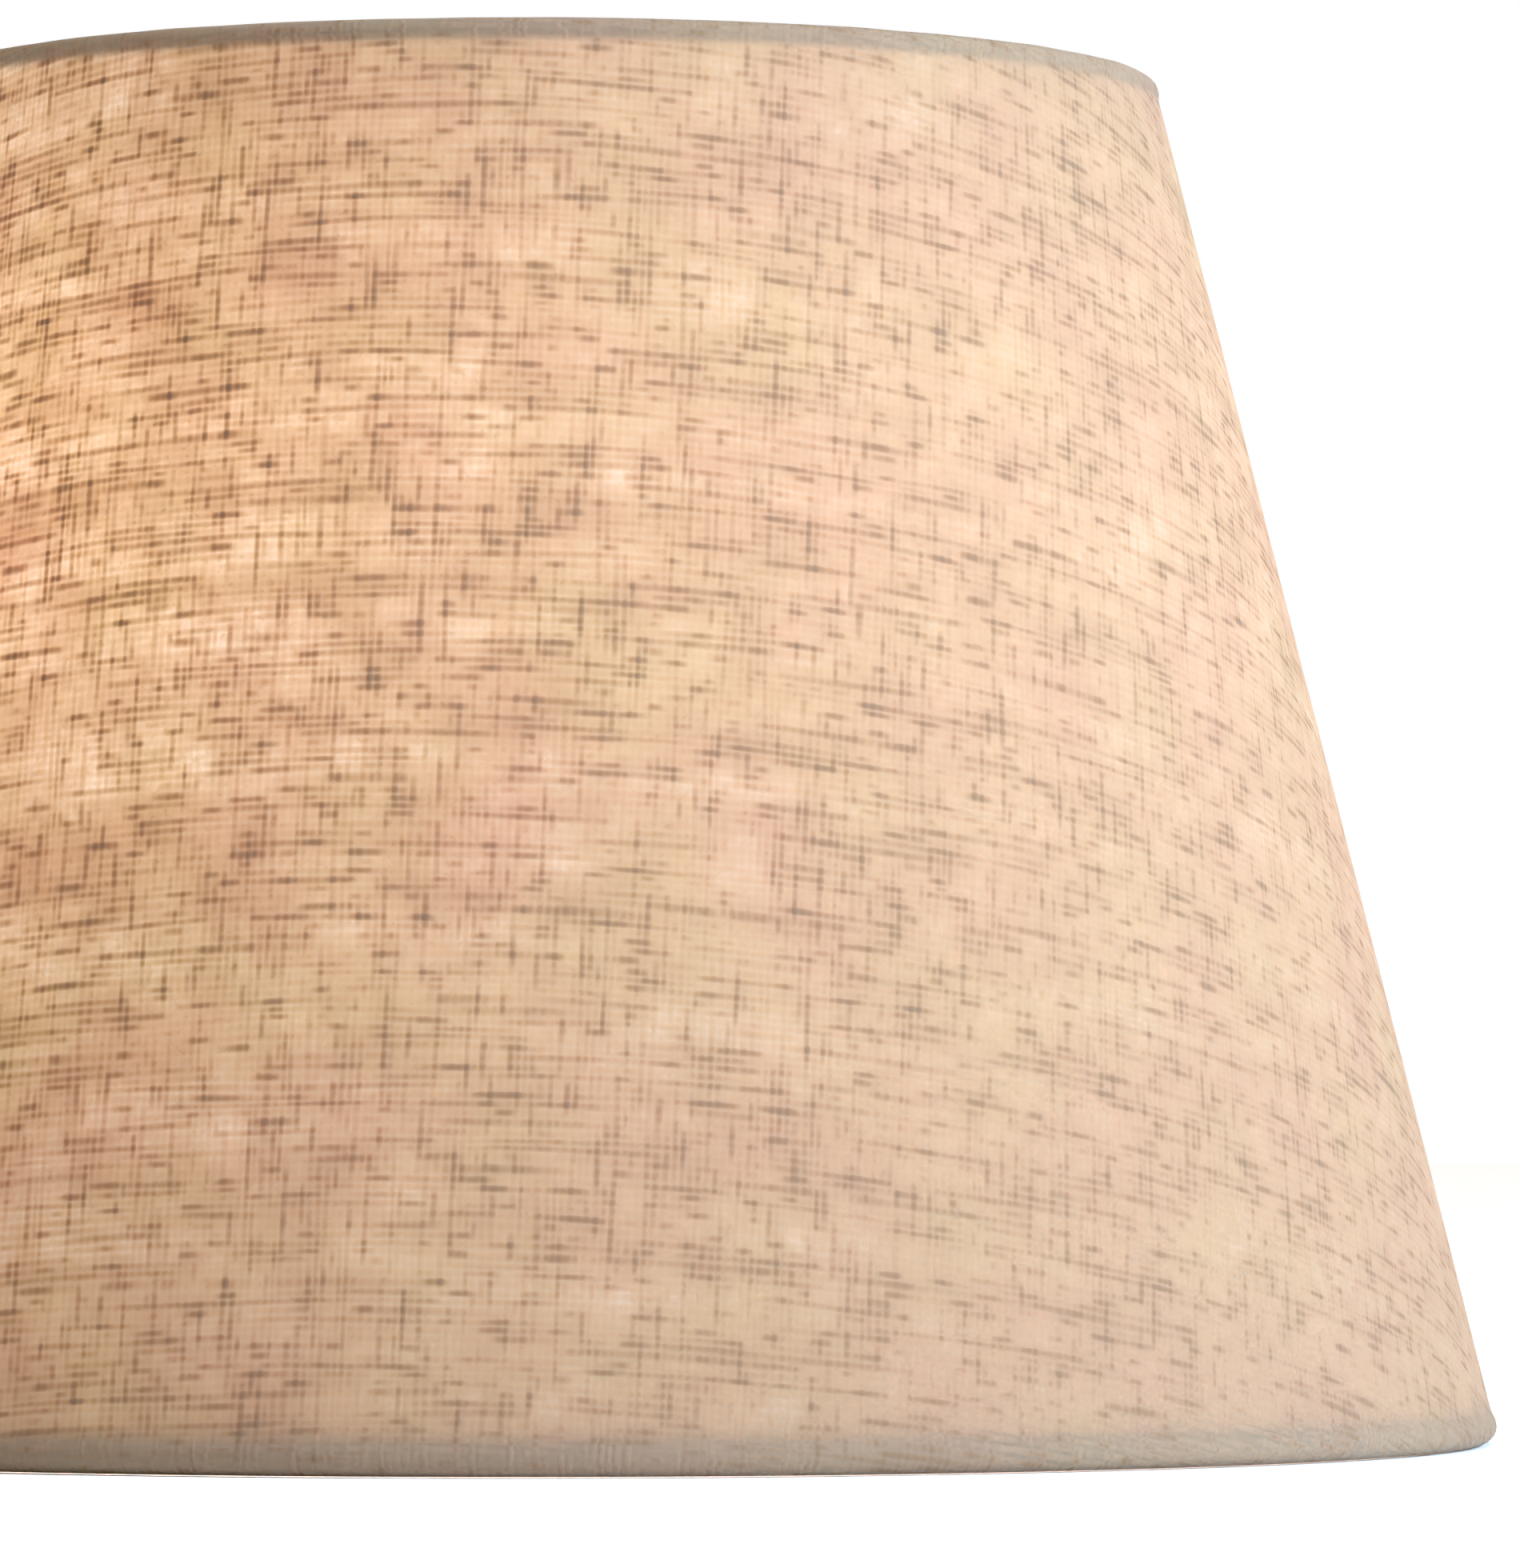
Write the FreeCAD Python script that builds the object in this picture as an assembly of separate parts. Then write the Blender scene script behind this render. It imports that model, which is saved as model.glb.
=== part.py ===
import FreeCAD, Part
import math
import os

# A tapered hardback lamp shade: linen rolled over two wire rings and bonded to a stiff
# translucent liner, with a reversible fitter that swings on two lugs of the top ring.
# The origin is on the axis, in the plane that the bottom hem stands on, and +Z is up.
# Lengths are in millimetres and angles in degrees.

# The cone, measured on the outside of the cloth.
BOTTOM_RADIUS = 175.0
TOP_RADIUS = 112.8
HEIGHT = 247.7

# Layers, from the outside in.
CLOTH = 0.5
LINER = 0.4
TAPE = 0.15
LAYER_GAP = 0.03

# The rings, and how far the hem rolled round them stands out of the cone.
TOP_WIRE = 2.8
BOTTOM_WIRE = 4.6
HEM_PROUD = 0.4
HEM_FLAT = 0.06         # how far the bottom hem is pressed flat where it stands
ROLL_GAP = 0.05
WELD_GAP = 0.02
TAPE_START = 125        # where the ring's tape starts and ends, counted as in Hem.point
TAPE_END = -115

# The seam, where the panel's two ends meet at the back.
SEAM_ANGLE = 67.6       # counter-clockwise from +X
SEAM_LAP = 9.0
SEAM_GAP = 0.3
SEAM_TAPE_WIDTH = 12.0

# The fitter: two wire arms, hinged about an axis along X, and a washer in the middle.
ARM_WIRE = 3.0
ARM_BEND = 6.0
PIVOT_DROP = 6.5        # from the top ring's centre down to the hinge axis
PIVOT_CLEARANCE = 0.05
FITTER_DROP = 40.0      # from the hinge axis down to the top of the washer
LUG_THICKNESS = 1.5
LUG_WIDTH = 9.0
LUG_BITE = 0.4          # how far the weld sinks the lug into the ring
LUG_RISE = 0.9          # how far the lug reaches above the ring's centre
HEAD_RADIUS = 2.4
HEAD_LENGTH = 1.2
HEAD_GAP = 0.2
WASHER_HOLE = 42.0
WASHER_DIAMETER = 56.0
WASHER_THICKNESS = 1.5
ARM_SEAT = 6.0          # length of each arm welded under the washer

# The moulded reducer that takes the washer's hole down to a small lampholder's.
LAMPHOLDER_HOLE = 29.0
REDUCER_FLANGE = 50.0
REDUCER_PLATE = 1.8
REDUCER_WALL = 1.5
REDUCER_DEPTH = 5.0
REDUCER_FIT = 0.05
REDUCER_RIBS = 6
RIB_WIDTH = 1.4

SLANT = math.hypot(BOTTOM_RADIUS - TOP_RADIUS, HEIGHT)
SIN_TAPER = (BOTTOM_RADIUS - TOP_RADIUS) / SLANT
COS_TAPER = HEIGHT / SLANT
LINER_OUTSIDE = CLOTH + LAYER_GAP
LINER_INSIDE = LINER_OUTSIDE + LINER
UP = FreeCAD.Vector(0, 0, 1)
ORIGIN = FreeCAD.Vector(0, 0, 0)


def on_cone(along, depth):
    """The point of the section at a distance up the slant and a depth inside the cloth's face."""
    radius = BOTTOM_RADIUS - along * SIN_TAPER - depth * COS_TAPER
    height = along * COS_TAPER - depth * SIN_TAPER
    return FreeCAD.Vector(radius, 0, height)


def turned(profile):
    """A solid of revolution about the shade's axis."""
    return profile.revolve(ORIGIN, UP, 360)


def polygon(points):
    return Part.Face(Part.makePolygon(points + points[:1]))


def cone_layer(start, end, outside, inside):
    """A conical sheet between two distances up the slant and two depths."""
    return polygon([
        on_cone(start, outside),
        on_cone(end, outside),
        on_cone(end, inside),
        on_cone(start, inside),
    ])


class Hem:
    """The section of a ring and of the cloth rolled round it. side is +1 at the top, -1 at the bottom."""

    def __init__(self, wire, side):
        self.side = side
        self.wire_radius = wire / 2
        self.tape_radius = self.wire_radius + ROLL_GAP
        self.inner = self.tape_radius + TAPE + ROLL_GAP
        self.outer = self.inner + CLOTH
        self.depth = self.outer - HEM_PROUD
        height = HEIGHT - self.outer if side > 0 else self.outer - HEM_FLAT
        self.along = (height + self.depth * SIN_TAPER) / COS_TAPER
        self.centre = on_cone(self.along, self.depth)

    def point(self, radius, angle):
        """angle is 0 towards the outside of the shade and 90 towards its middle height."""
        along = self.along - self.side * radius * math.sin(math.radians(angle))
        depth = self.depth - radius * math.cos(math.radians(angle))
        return on_cone(along, depth)

    def angle_at(self, radius, depth):
        return math.degrees(math.acos((self.depth - depth) / radius))

    def arc(self, radius, start, end):
        middle = (start + end) / 2
        return Part.Arc(*[self.point(radius, a) for a in (start, middle, end)]).toShape()

    def strip(self, inner, outer, angles, flat=False):
        """A curled strip between two radii, in runs from angle to angle. flat straightens the second run."""
        runs = list(zip(angles, angles[1:]))
        outside = [self.arc(outer, a, b) for a, b in runs]
        if flat:
            outside[1] = Part.makeLine(self.point(outer, angles[1]), self.point(outer, angles[2]))
        last = Part.makeLine(self.point(outer, angles[-1]), self.point(inner, angles[-1]))
        inside = [self.arc(inner, b, a) for a, b in reversed(runs)]
        first = Part.makeLine(self.point(inner, angles[0]), self.point(outer, angles[0]))
        return Part.Face(Part.Wire(outside + [last] + inside + [first]))

    def roll(self):
        """The rolled cloth, from the cone's face over the ring and in again to the liner."""
        start = self.angle_at(self.outer, 0)
        end = self.angle_at(self.outer, LINER_INSIDE + LAYER_GAP) - 360
        if self.side > 0:
            return self.strip(self.inner, self.outer, [start, end])
        down = -90 - math.degrees(math.asin(SIN_TAPER))
        half = math.degrees(math.acos(1 - HEM_FLAT / self.outer))
        return self.strip(self.inner, self.outer, [start, down + half, down - half, end], flat=True)

    def tape(self):
        return self.strip(self.tape_radius, self.tape_radius + TAPE, [TAPE_START, TAPE_END])

    def wire(self):
        circle = Part.makeCircle(self.wire_radius, self.centre, FreeCAD.Vector(0, 1, 0))
        return Part.Face(Part.Wire(circle))

    def clear_of(self, radius, depth):
        """How far up the slant a layer at this depth stays clear of a circle round the ring."""
        rise = math.sqrt(radius ** 2 - (self.depth - depth) ** 2)
        return self.along - self.side * (rise + LAYER_GAP)


TOP_HEM = Hem(TOP_WIRE, 1)
BOTTOM_HEM = Hem(BOTTOM_WIRE, -1)
PIVOT_HEIGHT = TOP_HEM.centre.z - PIVOT_DROP
WASHER_TOP = PIVOT_HEIGHT - FITTER_DROP
LUG_OUTSIDE = TOP_HEM.centre.x - TOP_HEM.wire_radius + LUG_BITE
LUG_INSIDE = LUG_OUTSIDE - LUG_THICKNESS


def seam_slab(width):
    """A radial slab over the seam, to cut strips and slits of an even width."""
    slab = Part.makeBox(
        BOTTOM_RADIUS + 20, width, HEIGHT + 20, FreeCAD.Vector(0, -width / 2, -10))
    slab.rotate(ORIGIN, UP, SEAM_ANGLE)
    return slab


def lug_slot():
    """The room that the lugs take out of the rolled cloth."""
    margin = 0.2
    width = LUG_WIDTH + 2 * margin
    height = LUG_RISE + PIVOT_DROP + margin
    inside = LUG_INSIDE - 3
    length = LUG_OUTSIDE + margin - inside
    base = FreeCAD.Vector(inside, -width / 2, PIVOT_HEIGHT)
    right = Part.makeBox(length, width, height, base)
    return right.fuse(right.mirror(ORIGIN, FreeCAD.Vector(1, 0, 0)))


def linen_cover():
    """The cloth between the rolls, with the lap of its folded end."""
    start = BOTTOM_HEM.clear_of(BOTTOM_HEM.outer, 0)
    end = TOP_HEM.clear_of(TOP_HEM.outer, 0)
    cone = turned(cone_layer(start, end, 0, CLOTH))
    lap = turned(cone_layer(start, end, -CLOTH, CLOTH / 2)).common(seam_slab(SEAM_LAP))
    return cone.fuse(lap).removeSplitter()


def bottom_hem():
    """The cloth's bottom edge, rolled inwards over the ring and pressed flat underneath."""
    return turned(BOTTOM_HEM.roll())


def top_hem():
    """The cloth's top edge, rolled inwards over the ring and notched for the lugs."""
    return turned(TOP_HEM.roll()).cut(lug_slot())


def liner_panel():
    """The stiff translucent sheet behind the cloth, with its ends meeting at the seam."""
    start = BOTTOM_HEM.clear_of(BOTTOM_HEM.inner, LINER_INSIDE)
    end = TOP_HEM.clear_of(TOP_HEM.inner, LINER_INSIDE)
    sheet = turned(cone_layer(start, end, LINER_OUTSIDE, LINER_INSIDE))
    return sheet.cut(seam_slab(SEAM_GAP))


def seam_tape():
    """The tape that joins the liner's ends, on its inside."""
    outside = LINER_INSIDE + LAYER_GAP
    inside = outside + TAPE
    start = BOTTOM_HEM.clear_of(BOTTOM_HEM.outer, inside)
    end = TOP_HEM.clear_of(TOP_HEM.outer, inside)
    layer = turned(cone_layer(start, end, outside, inside))
    return layer.common(seam_slab(SEAM_TAPE_WIDTH))


def pivot_lug():
    """A stamped tab welded inside the top ring, with the hole that an arm turns in."""
    top = TOP_HEM.centre.z + LUG_RISE
    base = FreeCAD.Vector(LUG_INSIDE, -LUG_WIDTH / 2, PIVOT_HEIGHT)
    plate = Part.makeBox(LUG_THICKNESS, LUG_WIDTH, top - PIVOT_HEIGHT, base)
    pivot = FreeCAD.Vector(LUG_INSIDE, 0, PIVOT_HEIGHT)
    along_x = FreeCAD.Vector(1, 0, 0)
    eye = Part.makeCylinder(LUG_WIDTH / 2, LUG_THICKNESS, pivot, along_x)
    hole_start = pivot - FreeCAD.Vector(1, 0, 0)
    hole_radius = ARM_WIRE / 2 + PIVOT_CLEARANCE
    hole = Part.makeCylinder(hole_radius, LUG_THICKNESS + 2, hole_start, along_x)
    ring = Part.makeTorus(TOP_HEM.centre.x, TOP_HEM.wire_radius + WELD_GAP,
                          FreeCAD.Vector(0, 0, TOP_HEM.centre.z))
    return plate.fuse(eye).cut(hole).cut(ring).removeSplitter()


def bent_path(points, bend):
    """Straight runs between points, with an arc of one radius at each corner."""
    edges = []
    last = points[0]
    for before, corner, after in zip(points, points[1:], points[2:]):
        back = (before - corner).normalize()
        on = (after - corner).normalize()
        half = back.getAngle(on) / 2
        reach = bend / math.tan(half)
        middle = (back + on).normalize()
        nearest = bend / math.sin(half) - bend
        start = corner + back * reach
        end = corner + on * reach
        edges.append(Part.makeLine(last, start))
        edges.append(Part.Arc(start, corner + middle * nearest, end).toShape())
        last = end
    edges.append(Part.makeLine(last, points[-1]))
    return Part.Wire(edges)


def gimbal_arm():
    """A bent wire from its headed end outside the lug, in and down to under the washer."""
    head = LUG_OUTSIDE + HEAD_GAP
    seat_height = WASHER_TOP - WASHER_THICKNESS - ARM_WIRE / 2 - WELD_GAP
    seat_start = WASHER_DIAMETER / 2
    path = bent_path([
        FreeCAD.Vector(head, 0, PIVOT_HEIGHT),
        FreeCAD.Vector(LUG_INSIDE - ARM_BEND, 0, PIVOT_HEIGHT),
        FreeCAD.Vector(seat_start + ARM_BEND, 0, seat_height),
        FreeCAD.Vector(seat_start - ARM_SEAT, 0, seat_height),
    ], ARM_BEND)
    inwards = FreeCAD.Vector(-1, 0, 0)
    circle = Part.makeCircle(ARM_WIRE / 2, path.Vertexes[0].Point, inwards)
    wire = path.makePipeShell([Part.Wire(circle)], True, False)
    rivet = Part.makeCylinder(HEAD_RADIUS, HEAD_LENGTH,
                              FreeCAD.Vector(head, 0, PIVOT_HEIGHT), FreeCAD.Vector(1, 0, 0))
    rivet = rivet.makeChamfer(0.3, [e for e in rivet.Edges if e.BoundBox.XMin > head + 0.1])
    return wire.fuse(rivet).removeSplitter()


def gimbal_washer():
    """The pressed steel washer, with its edges rounded."""
    base = FreeCAD.Vector(0, 0, WASHER_TOP - WASHER_THICKNESS)
    disc = Part.makeCylinder(WASHER_DIAMETER / 2, WASHER_THICKNESS, base)
    disc = disc.makeFillet(0.4, [e for e in disc.Edges if e.Curve.TypeId == "Part::GeomCircle"])
    hole = Part.makeCylinder(WASHER_HOLE / 2, WASHER_THICKNESS + 2, base - UP)
    return disc.cut(hole)


def reducer_ring():
    """A flanged ring with a skirt that fits the washer, a collar round the bore, and ribs."""
    bore = LAMPHOLDER_HOLE / 2
    skirt = WASHER_HOLE / 2 - REDUCER_FIT
    rim = REDUCER_FLANGE / 2
    seat = WASHER_TOP + REDUCER_FIT
    top = seat + REDUCER_PLATE
    bottom = seat - REDUCER_DEPTH
    outline = [
        (bore, bottom),
        (bore, top),
        (rim - 0.5, top),
        (rim, top - 0.5),
        (rim, seat),
        (skirt, seat),
        (skirt, bottom + 0.6),
        (skirt - 0.5, bottom),
        (skirt - REDUCER_WALL, bottom),
        (skirt - REDUCER_WALL, seat),
        (bore + REDUCER_WALL, seat),
        (bore + REDUCER_WALL, bottom),
    ]
    body = turned(polygon([FreeCAD.Vector(r, 0, z) for r, z in outline]))
    for i in range(REDUCER_RIBS):
        overlap = REDUCER_WALL / 2
        length = skirt - bore - 2 * overlap
        corner = FreeCAD.Vector(bore + overlap, -RIB_WIDTH / 2, bottom + 1)
        rib = Part.makeBox(length, RIB_WIDTH, REDUCER_DEPTH - 0.5, corner)
        rib.rotate(ORIGIN, UP, (i + 0.5) * 360 / REDUCER_RIBS)
        body = body.fuse(rib)
    return body.removeSplitter()


def both_sides(name, shape):
    """The right-hand piece and its mirror image on the left."""
    return {
        name + "_right": shape,
        name + "_left": shape.mirror(ORIGIN, FreeCAD.Vector(1, 0, 0)),
    }


pieces = {
    "linen_cover": linen_cover(),
    "bottom_hem": bottom_hem(),
    "top_hem": top_hem(),
    "liner_panel": liner_panel(),
    "seam_tape": seam_tape(),
    "top_ring": turned(TOP_HEM.wire()),
    "bottom_ring": turned(BOTTOM_HEM.wire()),
    "top_ring_tape": turned(TOP_HEM.tape()),
    "bottom_ring_tape": turned(BOTTOM_HEM.tape()),
    "gimbal_washer": gimbal_washer(),
    "reducer_ring": reducer_ring(),
}
pieces.update(both_sides("pivot_lug", pivot_lug()))
pieces.update(both_sides("gimbal_arm", gimbal_arm()))

os.makedirs("parts", exist_ok=True)
for name, shape in pieces.items():
    solid = shape.Solids[0] if len(shape.Solids) == 1 else shape
    solid.exportStep("parts/" + name + ".step")
    print(name, len(shape.Solids), shape.isValid(), round(shape.Volume))
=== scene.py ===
import math

import bpy
import numpy as np
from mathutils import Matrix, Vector
from mathutils import noise


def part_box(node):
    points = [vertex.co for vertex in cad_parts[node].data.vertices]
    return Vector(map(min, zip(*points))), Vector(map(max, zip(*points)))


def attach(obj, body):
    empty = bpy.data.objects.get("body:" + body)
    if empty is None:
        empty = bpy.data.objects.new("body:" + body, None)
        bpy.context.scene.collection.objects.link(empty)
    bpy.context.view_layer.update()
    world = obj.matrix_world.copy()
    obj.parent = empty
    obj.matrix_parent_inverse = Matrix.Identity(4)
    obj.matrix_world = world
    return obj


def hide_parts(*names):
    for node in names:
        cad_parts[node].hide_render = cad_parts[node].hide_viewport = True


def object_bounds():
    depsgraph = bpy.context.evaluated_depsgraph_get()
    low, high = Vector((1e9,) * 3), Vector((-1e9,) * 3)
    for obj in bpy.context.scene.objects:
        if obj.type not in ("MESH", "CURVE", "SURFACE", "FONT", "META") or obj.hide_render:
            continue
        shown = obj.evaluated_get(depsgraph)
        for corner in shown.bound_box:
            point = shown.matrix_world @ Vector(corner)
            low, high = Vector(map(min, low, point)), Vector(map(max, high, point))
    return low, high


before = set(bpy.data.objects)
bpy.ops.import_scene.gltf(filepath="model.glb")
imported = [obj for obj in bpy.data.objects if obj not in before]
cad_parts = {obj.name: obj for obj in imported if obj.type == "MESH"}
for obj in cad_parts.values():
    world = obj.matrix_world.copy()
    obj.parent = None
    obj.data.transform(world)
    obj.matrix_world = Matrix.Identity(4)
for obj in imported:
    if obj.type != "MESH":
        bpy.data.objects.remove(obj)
cad_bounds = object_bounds()
scene = bpy.context.scene

# A tapered lamp shade of slubby linen, lit from inside. Lengths are in metres and angles in
# radians. phi goes round the shade from the front (-Y) towards +X.

MM = 0.001
CLOTH = 0.42 * MM               # thickness of the modelled cloth
PROUD = 0.4 * MM                # how far the rolled hems stand out of the cone
SEAM_PHI = math.radians(157.6)  # middle of the panel's lap, at the back
LAP = 9 * MM
LAP_CLEAR = 0.03 * MM           # air between the lap's two layers
LAP_FOLD = 0.4 * MM             # how much thicker the lap's folded outer end is
GRAIN_TURN = math.radians(-3.0)  # the cloth's grain against the panel's middle line
WARP_PITCH = 1.40 * MM
WEFT_PITCH = 1.60 * MM
NOTCH_REACH = 4.9 * MM          # how far the roll is cut away on each side of a fitter lug
FLOOR_GAP = 0.25 * MM           # the floor lies this far below the bottom of the CAD


# ---------------------------------------------------------------- the shade's section

class Ring:
    """A hem ring's wire, read from its CAD box. side is +1 at the top and -1 at the bottom."""

    def __init__(self, node, hem, side):
        low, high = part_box(node)
        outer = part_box(hem)[1][0]
        self.side = side
        self.wire = (high[2] - low[2]) / 2
        self.radius = high[0] - self.wire
        self.height = (high[2] + low[2]) / 2
        self.roll = outer - self.radius


top = Ring("top_ring", "top_hem", 1)
bottom = Ring("bottom_ring", "bottom_hem", -1)


def cone_angle():
    """The half angle of the cone that passes PROUD inside both rolls."""
    across = bottom.radius - top.radius
    rise = bottom.height - top.height
    step = (top.roll - PROUD) - (bottom.roll - PROUD)
    return math.atan2(rise, across) + math.acos(step / math.hypot(across, rise))


TAPER = cone_angle()
OUT = np.array([math.cos(TAPER), math.sin(TAPER)])     # out of the cone, as (radius, height)
UP = np.array([-math.sin(TAPER), math.cos(TAPER)])     # up the slant


def along(ring):
    """How far up the slant a ring's centre is, from the height 0."""
    return float(np.dot(UP, (ring.radius, ring.height)))


FACE = float(np.dot(OUT, (bottom.radius, bottom.height))) + bottom.roll - PROUD
APEX = FACE / math.sin(TAPER) * math.cos(TAPER)        # slant height of the cone's apex


def bulge(x, roll):
    """How far the cloth stands out of the cone at a distance x from a ring's centre line."""
    circle = math.sqrt(max(roll * roll - x * x, 0.0)) - (roll - PROUD)
    soft = 0.25 * MM
    return soft * math.log1p(math.exp(circle / soft))


TUCK = math.radians(70 - 360)           # where a roll ends, against the liner behind its ring
NOTCH = math.radians(-95)               # where it ends beside a fitter lug


def section(tuck_top):
    """The cloth's outer face from tuck to tuck, as rows of (radius, height, out_r, out_z, slant)."""
    rows = []

    def add(place, out, slant):
        rows.append((*place, *out, slant))

    def turn(ring, angles):
        centre = np.array([ring.radius, ring.height])
        for angle in angles:
            out = math.cos(angle) * OUT - ring.side * math.sin(angle) * UP
            add(centre + ring.roll * out, out, along(ring) - ring.side * ring.roll * angle)

    def rise(start, end, steps):
        for x in np.linspace(start, end, steps):
            proud = bulge(x - along(bottom), bottom.roll) + bulge(x - along(top), top.roll)
            add((FACE + proud) * OUT + x * UP, OUT, x)

    low, high = along(bottom), along(top)
    turn(bottom, np.linspace(TUCK, 0, 21))
    rise(low + 0.6 * MM, low + 6 * MM, 8)
    rise(low + 10 * MM, high - 9 * MM, 40)
    rise(high - 5 * MM, high - 0.6 * MM, 7)
    turn(top, np.linspace(0, tuck_top, 17))
    return np.array(rows)


# ---------------------------------------------------------------- the linen cover

COLUMNS = 480                   # round the shade, besides those of the lap
WAVE = 0.12 * MM                # the cloth's ripple lifts it by 0 to twice this
PUCKER = 0.25 * MM              # the same for the puckers where it is tucked in


def smooth(x):
    """x held between 0 and 1, with an even start and end."""
    x = np.clip(x, 0.0, 1.0)
    return x * x * (3 - 2 * x)


def ripple(a, b, c):
    """Smooth noise from -1 to 1, the same on each run."""
    return noise.noise(Vector((a, b, c)))


def cover_columns():
    """Columns as (angle, arc offset in metres, share of the sheet's thickness)."""
    edge = LAP / 2
    columns = [(0.0, -x, 1.0) for x in (edge, edge - 1.5 * MM, edge - 3 * MM)]
    columns += [(math.tau * i / COLUMNS, 0.0, 1.0) for i in range(COLUMNS + 1)]
    columns += [(math.tau, x, 1.0) for x in (edge - 3 * MM, edge - 1.5 * MM, edge - 0.6 * MM)]
    columns += [(math.tau, edge - 0.2 * MM, 0.75), (math.tau, edge, 0.35)]
    return columns


def cover_grids():
    """Outer and inner points of the cloth and the flat-cut place of each, by column and row."""
    whole, notched = section(TUCK), section(NOTCH)
    outer, inner, cut = [], [], []
    for turned, offset, share in cover_columns():
        phi = SEAM_PHI + turned
        beside_lug = abs(math.cos(phi)) * top.radius < NOTCH_REACH
        rows = notched if beside_lug else whole
        column_out, column_in, column_cut = [], [], []
        for radius, height, out_r, out_z, slant in rows:
            angle = phi + offset / radius
            from_seam = (angle - SEAM_PHI - math.tau) * radius
            lifted = smooth((from_seam + LAP / 2 + 3 * MM) / (3 * MM))
            x, y = math.sin(angle), -math.cos(angle)
            inside = smooth((-out_r - 0.1) / 0.6)
            free = 1 - smooth(-out_z)
            wave = WAVE * (1 + ripple(9 * x, 9 * y, 14 * slant)) * free
            pucker = PUCKER * inside * (1 + ripple(40 * x, 40 * y, 120 * slant))
            lift_in = wave + pucker + (CLOTH + LAP_CLEAR) * lifted
            lift_out = lift_in + LAP_FOLD * lifted * free
            middle = (lift_out + lift_in - CLOTH) / 2
            half = (lift_out - lift_in + CLOTH) / 2 * share
            for column, depth in ((column_out, middle + half), (column_in, middle - half)):
                r = radius + out_r * depth
                column.append((r * x, r * y, height + out_z * depth))
            theta = math.sin(TAPER) * (angle - SEAM_PHI - math.pi) + GRAIN_TURN
            rho = APEX - slant
            column_cut.append((rho * math.sin(theta), -rho * math.cos(theta)))
        outer.append(column_out)
        inner.append(column_in)
        cut.append(column_cut)
    return np.array(outer), np.array(inner), np.array(cut)


def new_object(name, vertices, faces):
    mesh = bpy.data.meshes.new(name)
    mesh.from_pydata([tuple(v) for v in vertices], [], faces)
    mesh.validate()
    mesh.shade_smooth()
    obj = bpy.data.objects.new(name, mesh)
    bpy.context.scene.collection.objects.link(obj)
    return obj


def linen_cover():
    """One closed thin sheet: both faces of the cloth, joined along its four edges."""
    outer, inner, cut = cover_grids()
    columns, rows = outer.shape[:2]
    count = columns * rows
    vertices = np.concatenate([outer.reshape(-1, 3), inner.reshape(-1, 3)])
    places = np.concatenate([cut.reshape(-1, 2), cut.reshape(-1, 2)])
    faces = []
    for i in range(columns - 1):
        for j in range(rows - 1):
            a = i * rows + j
            b = a + rows
            faces.append((a, b, b + 1, a + 1))
            faces.append((count + a, count + a + 1, count + b + 1, count + b))
    for i in range(columns - 1):
        a, b = i * rows, (i + 1) * rows
        faces.append((a, count + a, count + b, b))
        a, b = a + rows - 1, b + rows - 1
        faces.append((a, b, count + b, count + a))
    for j in range(rows - 1):
        faces.append((j, j + 1, count + j + 1, count + j))
        a = (columns - 1) * rows + j
        faces.append((a, count + a, count + a + 1, a + 1))
    obj = new_object("cover_linen", vertices, faces)
    layer = obj.data.uv_layers.new(name="cut")
    loops = np.zeros(len(obj.data.loops), int)
    obj.data.loops.foreach_get("vertex_index", loops)
    layer.data.foreach_set("uv", places[loops].ravel())
    return obj


def flat_cloth():
    """Box and area of the cloth as cut: a ring sector with its hems and lap laid flat."""
    slants = section(TUCK)[:, 4]
    near, far = APEX - slants.max(), APEX - slants.min()
    half_turn = math.sin(TAPER) * math.pi
    box = (2 * far * math.sin(half_turn), far - near * math.cos(half_turn))
    area = half_turn * (far ** 2 - near ** 2) + LAP * (far - near)
    return box, area


# ---------------------------------------------------------------- materials

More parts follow.
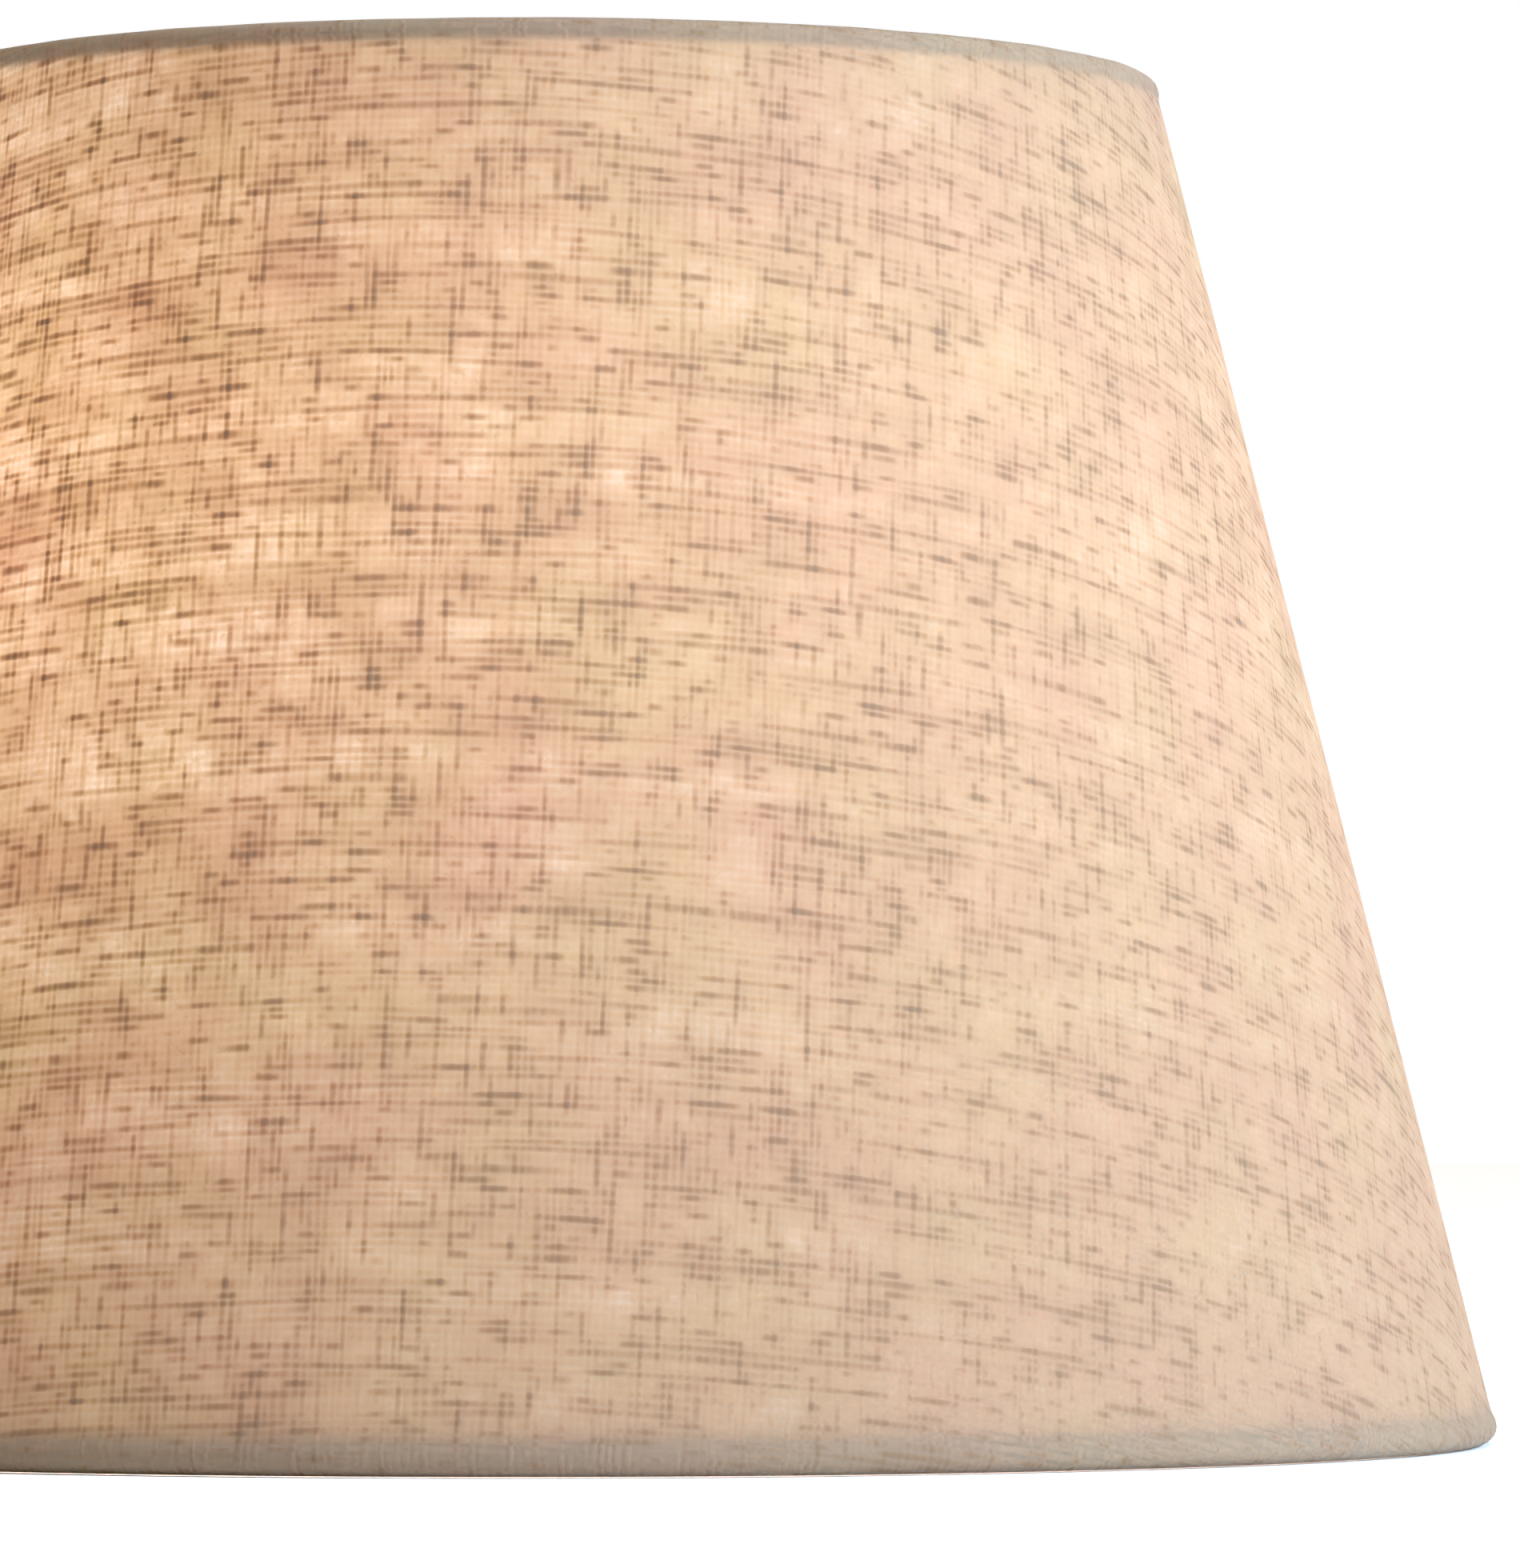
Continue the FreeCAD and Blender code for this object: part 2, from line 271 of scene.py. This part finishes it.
class Nodes:
    """A material's node tree, with short calls for the nodes it needs. Inputs are numbers or sockets."""

    def __init__(self, name):
        self.material = bpy.data.materials.new(name)
        self.material.use_nodes = True
        self.tree = self.material.node_tree
        self.tree.nodes.clear()
        self.output = self.tree.nodes.new("ShaderNodeOutputMaterial")

    def put(self, socket, value):
        if isinstance(value, bpy.types.NodeSocket):
            self.tree.links.new(value, socket)
        elif value is not None:
            socket.default_value = value

    def node(self, kind, inputs=(), **settings):
        made = self.tree.nodes.new(kind)
        for key, value in settings.items():
            setattr(made, key, value)
        for key, value in dict(inputs).items():
            self.put(made.inputs[key], value)
        return made

    def math(self, operation, a, b=None, c=None):
        inputs = {i: v for i, v in enumerate((a, b, c)) if v is not None}
        return self.node("ShaderNodeMath", inputs, operation=operation).outputs[0]

    def span(self, value, low, high, kind="SMOOTHSTEP"):
        """value mapped from low..high to 0..1, and held beyond."""
        inputs = {0: value, 1: low, 2: high}
        return self.node("ShaderNodeMapRange", inputs, interpolation_type=kind).outputs[0]

    def object_place(self):
        return self.node("ShaderNodeTexCoord").outputs["Object"]

    def vector(self, x, y, z=0.0):
        return self.node("ShaderNodeCombineXYZ", {0: x, 1: y, 2: z}).outputs[0]

    def noise(self, vector, scale=1.0, detail=0.0, rough=0.5):
        inputs = {"Vector": vector, "Scale": scale, "Detail": detail, "Roughness": rough}
        return self.node("ShaderNodeTexNoise", inputs).outputs[0]

    def mix(self, factor, a, b):
        made = self.node("ShaderNodeMix", {0: factor}, data_type="RGBA")
        self.put(made.inputs[6], a)
        self.put(made.inputs[7], b)
        return made.outputs[2]

    def ramp(self, value, stops):
        """The colour for a value, between stops given as (value, colour)."""
        low, high = stops[0][0], stops[-1][0]
        made = self.node("ShaderNodeValToRGB", {0: self.span(value, low, high, "LINEAR")})
        elements = made.color_ramp.elements
        elements[0].color = (*stops[0][1], 1)
        elements[1].color = (*stops[-1][1], 1)
        for at, colour in stops[1:-1]:
            elements.new((at - low) / (high - low)).color = (*colour, 1)
        return made.outputs[0]

    def bump(self, height, distance, strength=1.0):
        inputs = {"Height": height, "Distance": distance, "Strength": strength}
        return self.node("ShaderNodeBump", inputs).outputs[0]

    def surface(self, colour, rough, normal=None, **more):
        inputs = {"Base Color": colour, "Roughness": rough, "Normal": normal, **more}
        return self.node("ShaderNodeBsdfPrincipled", inputs).outputs[0]

    def let_through(self, front, colour, share, normal=None):
        """The front shader with a share of it replaced by light that comes through."""
        back = self.node("ShaderNodeBsdfTranslucent", {"Color": colour, "Normal": normal})
        return self.node("ShaderNodeMixShader", {0: share, 1: front, 2: back.outputs[0]}).outputs[0]

    def finish(self, shader):
        self.tree.links.new(shader, self.output.inputs["Surface"])
        return self.material


# Cells of noise per metre, across and along the threads.
DRIFT_ACROSS, DRIFT_ALONG = 170, 20
DRIFT_PITCHES = 1.6             # how far a thread wanders, in thread spacings
SWELL_ALONG, KNOT_ALONG = 50, 150
THREAD_STEP = 7.31              # keeps the noise of neighbouring threads apart
ROUNDNESS = 1.8


def yarns(n, across, lengthways, pitch, seed):
    """How much yarn lies over a place, from one set of threads of uneven thickness."""
    wander = n.vector(n.math("MULTIPLY", across, DRIFT_ACROSS),
                      n.math("MULTIPLY", lengthways, DRIFT_ALONG), seed)
    drift = n.noise(wander, 1.0, 1.0, 0.6)
    place = n.math("ADD", n.math("DIVIDE", across, pitch), n.math("MULTIPLY", drift, DRIFT_PITCHES))
    thread = n.math("FLOOR", place)
    side = n.math("MULTIPLY_ADD", n.math("FRACT", place), 2.0, -1.0)
    hump = n.math("SUBTRACT", 1.0, n.math("MULTIPLY", side, side))
    own = n.math("MULTIPLY", thread, THREAD_STEP)
    swell_place = n.vector(own, n.math("MULTIPLY", lengthways, SWELL_ALONG), seed + 3.7)
    knot_place = n.vector(own, n.math("MULTIPLY", lengthways, KNOT_ALONG), seed + 9.2)
    swell = n.span(n.noise(swell_place, 1.0, 1.0, 0.6), 0.44, 0.72)
    knot = n.span(n.noise(knot_place, detail=1.0), 0.52, 0.76)
    thick = n.math("MULTIPLY_ADD", swell, 1.4, 0.25)
    thick = n.math("MULTIPLY_ADD", knot, 2.4, thick)
    return n.math("MULTIPLY", thick, n.math("POWER", hump, ROUNDNESS))


THROUGH_FADE = (0.37, 0.53, 0.84)       # how fast red, green and blue fade with the yarn in the way
# Front colour of the cloth by the fibre in the way, as (amount, colour). The dark low end, where little
# yarn lies, is painted shade in the gaps between the threads; the middle is the yarn's own colour and
# the brown high end the thick slubs' own colour.
FLAX_AND_GAP_SHADE = ((0.3, (0.29, 0.21, 0.155)), (1.1, (0.48, 0.345, 0.25)), (2.6, (0.46, 0.30, 0.185)))
WARP_WEIGHT, WEFT_WEIGHT = 0.44, 0.70
CLOTH_THROUGH = 0.6                     # share of the cloth's shader that lets light through
LINER_THROUGH = 0.85
TAPE_THROUGH = 0.6


def density(n, x, y, warp, weft):
    """How much fibre is in the light's way: the yarns, their crossings, streaks, clouds and flecks."""
    cloud = n.noise(n.vector(x, y, 2.0), 60, 4.0, 0.80)
    streak_place = n.vector(n.math("MULTIPLY", x, 9), n.math("MULTIPLY", y, 130), 5.0)
    parts = (
        (n.math("MULTIPLY", warp, weft), 0.25),
        (n.noise(streak_place, 1.0, 1.0), 1.0),
        (n.math("SUBTRACT", cloud, 0.5), 2.1),
        (n.span(n.noise(n.vector(x, y, 11.0), 820, 1.0), 0.56, 0.78), 0.4),
    )
    dense = n.math("ADD", n.math("MULTIPLY", warp, WARP_WEIGHT), n.math("MULTIPLY", weft, WEFT_WEIGHT))
    for part, weight in parts:
        dense = n.math("MULTIPLY_ADD", part, weight, dense)
    return dense


def through_colour(n, x, y, dense):
    """The colour of light that comes through, with patches where the green fades faster or slower."""
    tint = n.noise(n.vector(x, y, 7.0), 34, 1.0)
    warm = n.math("MULTIPLY_ADD", tint, 0.4, 0.80)
    red, green, blue = THROUGH_FADE
    fades = (red, n.math("MULTIPLY", warm, green), blue)
    kept = {}
    for i, fade in enumerate(fades):
        kept[i] = n.math("EXPONENT", n.math("MULTIPLY", dense, n.math("MULTIPLY", fade, -1.0)))
    return n.node("ShaderNodeCombineColor", kept).outputs[0]


def linen():
    """Plain-woven slubby linen. Light through it darkens and browns with the yarn in its way. Its front
    colour is painted darker where little yarn lies, as painted shade between the threads, and browner on
    thick slubs.
    """
    n = Nodes("linen_weave")
    place = n.node("ShaderNodeUVMap", uv_map="cut").outputs[0]
    split = n.node("ShaderNodeSeparateXYZ", {0: place})
    x, y = split.outputs[0], split.outputs[1]
    warp = yarns(n, x, y, WARP_PITCH, 1.3)
    weft = yarns(n, y, x, WEFT_PITCH, 41.7)
    dense = density(n, x, y, warp, weft)
    normal = n.bump(n.math("ADD", warp, weft), 0.15 * MM, 0.2)
    fuzz = {"Specular IOR Level": 0.2, "Sheen Weight": 0.15, "Sheen Roughness": 0.5}
    # The ramp paints shade into the front colour between the threads, and the slubs' own brown where
    # yarn is thick.
    front = n.surface(n.ramp(dense, FLAX_AND_GAP_SHADE), 0.85, normal, **fuzz)
    return n.finish(n.let_through(front, through_colour(n, x, y, dense), CLOTH_THROUGH, normal))


def liner():
    """Satin white styrene, a little uneven where the cloth is bonded to its back."""
    n = Nodes("liner_styrene")
    place = n.object_place()
    patch = n.noise(place, 55, 2.0)
    grain = n.noise(place, 1400, 2.0)
    white = n.mix(patch, (0.86, 0.85, 0.82, 1), (0.93, 0.92, 0.90, 1))
    normal = n.bump(n.math("MULTIPLY_ADD", grain, 0.1, patch), 0.15 * MM, 0.35)
    return n.finish(n.let_through(n.surface(white, 0.5, normal), white, LINER_THROUGH))


def powder_coat():
    """Off-white powder coat with its fine orange peel, worn to grey steel in small spots."""
    n = Nodes("powder_coat_white")
    place = n.object_place()
    peel = n.noise(place, 1500, 1.0)
    wear = n.span(n.noise(place, 420, 3.0, 0.6), 0.70, 0.76)
    colour = n.mix(wear, (0.60, 0.59, 0.56, 1), (0.34, 0.33, 0.32, 1))
    rough = n.math("MULTIPLY_ADD", peel, 0.15, 0.32)
    return n.finish(n.surface(colour, rough, n.bump(peel, 0.05 * MM, 0.4)))


def moulded_plastic():
    """White moulded plastic with a spark-eroded texture."""
    n = Nodes("moulded_plastic_white")
    place = n.object_place()
    texture = n.noise(place, 1900, 3.0, 0.7)
    flow = n.noise(place, 60, 1.0)
    colour = n.mix(flow, (0.70, 0.69, 0.66, 1), (0.76, 0.75, 0.72, 1))
    rough = n.math("MULTIPLY_ADD", texture, 0.2, 0.40)
    return n.finish(n.surface(colour, rough, n.bump(texture, 0.04 * MM, 0.5)))


def adhesive_tape():
    """Thin milky tape with small trapped bubbles."""
    n = Nodes("adhesive_tape")
    bubbles = n.span(n.noise(n.object_place(), 900, 2.0), 0.62, 0.70)
    colour = n.mix(bubbles, (0.88, 0.87, 0.82, 1), (0.94, 0.94, 0.92, 1))
    front = n.surface(colour, 0.35, n.bump(bubbles, 0.03 * MM, 0.5))
    return n.finish(n.let_through(front, colour, TAPE_THROUGH))


def plaster_floor():
    """Nearly white floor, a little uneven."""
    n = Nodes("floor_pale")
    tone = n.noise(n.object_place(), 3.0, 3.0)
    colour = n.mix(tone, (0.96, 0.96, 0.95, 1), (0.98, 0.98, 0.97, 1))
    return n.finish(n.surface(colour, 0.7))


# ---------------------------------------------------------------- making

cover = linen_cover()
cover.data.materials.append(linen())
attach(cover, "shade")
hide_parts("linen_cover", "bottom_hem", "top_hem")
cloth_box, cloth_area = flat_cloth()

FINISHES = {
    "liner_panel": liner(),
    "seam_tape": adhesive_tape(),
    "top_ring_tape": adhesive_tape(),
    "bottom_ring_tape": adhesive_tape(),
    "reducer_ring": moulded_plastic(),
}
coat = powder_coat()
for name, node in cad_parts.items():
    for slot in node.material_slots:
        slot.material = FINISHES.get(name, coat)

# ---------------------------------------------------------------- stage, camera and light

FLOOR_REACH = 8                         # half the floor's width

# The camera was fitted to the outline in the photo.
CAMERA_PLACE = (0, -1.77807, 0.061486)
CAMERA_PITCH = 0.0327777
CAMERA_TURN = -0.0230076
CAMERA_LENS = 223.54


def add_floor():
    mesh = bpy.data.meshes.new("floor")
    corners = [(-1, -1), (1, -1), (1, 1), (-1, 1)]
    mesh.from_pydata([(x * FLOOR_REACH, y * FLOOR_REACH, 0) for x, y in corners], [], [(0, 1, 2, 3)])
    mesh.materials.append(plaster_floor())
    floor = bpy.data.objects.new("floor", mesh)
    floor.location.z = cad_bounds[0][2] - FLOOR_GAP
    scene.collection.objects.link(floor)
    return floor


def add_camera():
    data = bpy.data.cameras.new("camera")
    data.sensor_width = 36
    data.lens = CAMERA_LENS
    data.clip_start = 0.01
    camera = bpy.data.objects.new("camera", data)
    camera.location = CAMERA_PLACE
    camera.rotation_euler = (math.pi / 2 + CAMERA_PITCH, 0, CAMERA_TURN)
    scene.collection.objects.link(camera)
    scene.camera = camera


def add_light(name, kind, power, colour=(1, 1, 1), place=(0, 0, 0), **settings):
    data = bpy.data.lights.new(name, kind)
    data.energy = power
    data.color = colour
    for key, value in settings.items():
        setattr(data, key, value)
    light = bpy.data.objects.new(name, data)
    light.location = place
    scene.collection.objects.link(light)
    return light


def aim(light, target):
    way = Vector(target) - light.location
    light.rotation_euler = way.to_track_quat("-Z", "Y").to_euler()


def add_world():
    """White to the camera, and a dim warm light to everything else."""
    world = bpy.data.worlds.new("studio")
    world.use_nodes = True
    scene.world = world
    sky = world.node_tree
    sky.nodes.clear()
    seen = sky.nodes.new("ShaderNodeBackground")
    lit = sky.nodes.new("ShaderNodeBackground")
    seen.inputs["Color"].default_value = (1, 1, 1, 1)
    lit.inputs["Color"].default_value = (1.0, 0.86, 0.72, 1)
    lit.inputs["Strength"].default_value = 0.14
    choose = sky.nodes.new("ShaderNodeMixShader")
    path = sky.nodes.new("ShaderNodeLightPath")
    output = sky.nodes.new("ShaderNodeOutputWorld")
    sky.links.new(path.outputs["Is Camera Ray"], choose.inputs[0])
    sky.links.new(lit.outputs[0], choose.inputs[1])
    sky.links.new(seen.outputs[0], choose.inputs[2])
    sky.links.new(choose.outputs[0], output.inputs[0])


add_floor()
add_camera()

key = add_light("key", "AREA", 112, (0.56, 0.76, 1.0), (1.8, -0.9, 0.9), shape="DISK", size=1.0)
aim(key, (0, 0, 0.12))
key.visible_camera = False

add_light("overhead", "SUN", 3.1, angle=math.radians(60))

bulb = add_light("bulb", "POINT", 2.45, (1.0, 0.78, 0.70), (-0.035, 0, 0.150), shadow_soft_size=0.03)
bulb.visible_camera = False

add_world()
scene.view_settings.view_transform = "Standard"
